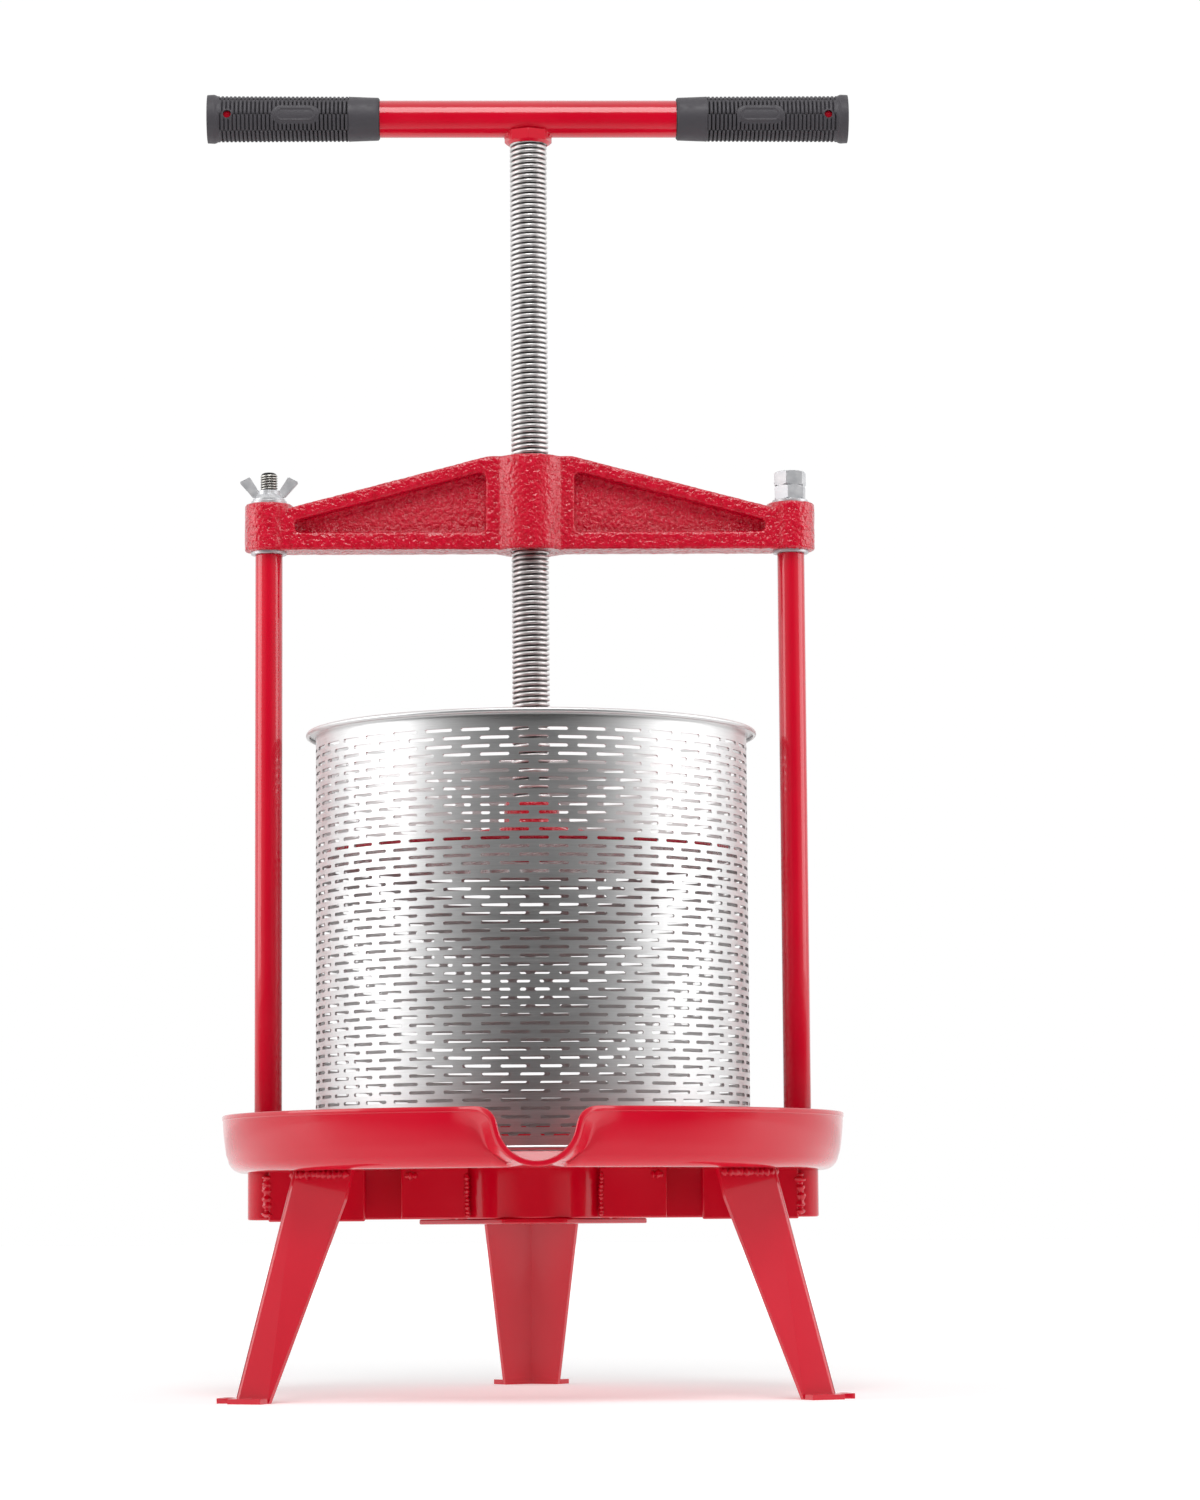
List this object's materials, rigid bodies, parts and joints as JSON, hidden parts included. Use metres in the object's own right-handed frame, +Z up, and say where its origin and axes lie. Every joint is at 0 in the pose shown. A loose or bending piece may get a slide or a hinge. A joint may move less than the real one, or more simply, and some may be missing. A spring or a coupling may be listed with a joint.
{
  "type": "basket wine press",
  "caption": "Hand-turned basket press: a perforated steel basket stands on a tray with a spout, and a screw in a cross head drives a plate down into it.",
  "frame": {"origin": "on the screw's axis at floor level, under the middle of the tray", "axes": "+Z up along the screw; -Y is the front, where the spout is; +X is the right, as seen from the front, and the handle and the two posts lie along X"},
  "size_m": [0.38, 0.3966, 0.7655],
  "materials": {
    "red_paint": "gloss powder coat",
    "red_casting": "gloss paint over a rough casting",
    "stainless_sheet": "brushed",
    "screw_steel": "machined, lightly oiled",
    "zinc_plate": "bright zinc plating",
    "grip_rubber": "ribbed, matt"
  },
  "bodies": {
    "press_frame": {"drip_tray": "red_paint", "hub_tube": "red_paint", "base_plate": "red_paint", "cross_bar_left": "red_paint", "cross_bar_right": "red_paint", "gusset_left": "red_paint", "gusset_right": "red_paint", "doubler_left": "red_paint", "doubler_right": "red_paint", "post_socket_left": "red_paint", "post_socket_right": "red_paint", "leg_front_left": "red_paint", "leg_front_right": "red_paint", "leg_rear": "red_paint", "post_left": "red_paint", "post_right": "red_paint", "lower_washers": "zinc_plate", "upper_washers": "zinc_plate", "hex_nuts": "zinc_plate", "cross_head": "red_casting"},
    "wing_nut": {"wing_nut": "zinc_plate"},
    "basket": {"basket": "stainless_sheet"},
    "pressing_plate": {"pressing_plate": "red_casting"},
    "screw_and_handle": {"screw": "screw_steel", "plate_washer": "zinc_plate", "plate_bolt": "zinc_plate", "screw_collar": "red_paint", "handle_bar": "red_paint", "grip_left": "grip_rubber", "grip_right": "grip_rubber"}
  },
  "joints": [
    {"name": "screw_turn", "type": "hinge", "parent": "pressing_plate", "child": "screw_and_handle", "pos_m": [0, 0, 0.32], "axis": [0, 0, 1], "range_deg": [-19800, 17280]},
    {"name": "plate_slide", "type": "slide", "parent": "press_frame", "child": "pressing_plate", "axis": [0, 0, 1], "range_m": [-0.165, 0.144]},
    {"name": "basket_lift", "type": "slide", "parent": "press_frame", "child": "basket", "axis": [0, 0, 1], "range_m": [0, 0.1]},
    {"name": "wing_nut_turn", "type": "hinge", "parent": "press_frame", "child": "wing_nut", "pos_m": [-0.1534, 0, 0.525], "axis": [0, 0, 1], "continuous": true}
  ],
  "couplings": [
    {"joint": "plate_slide", "follows": "screw_turn", "m_per_rad": 0.00047746}
  ]
}
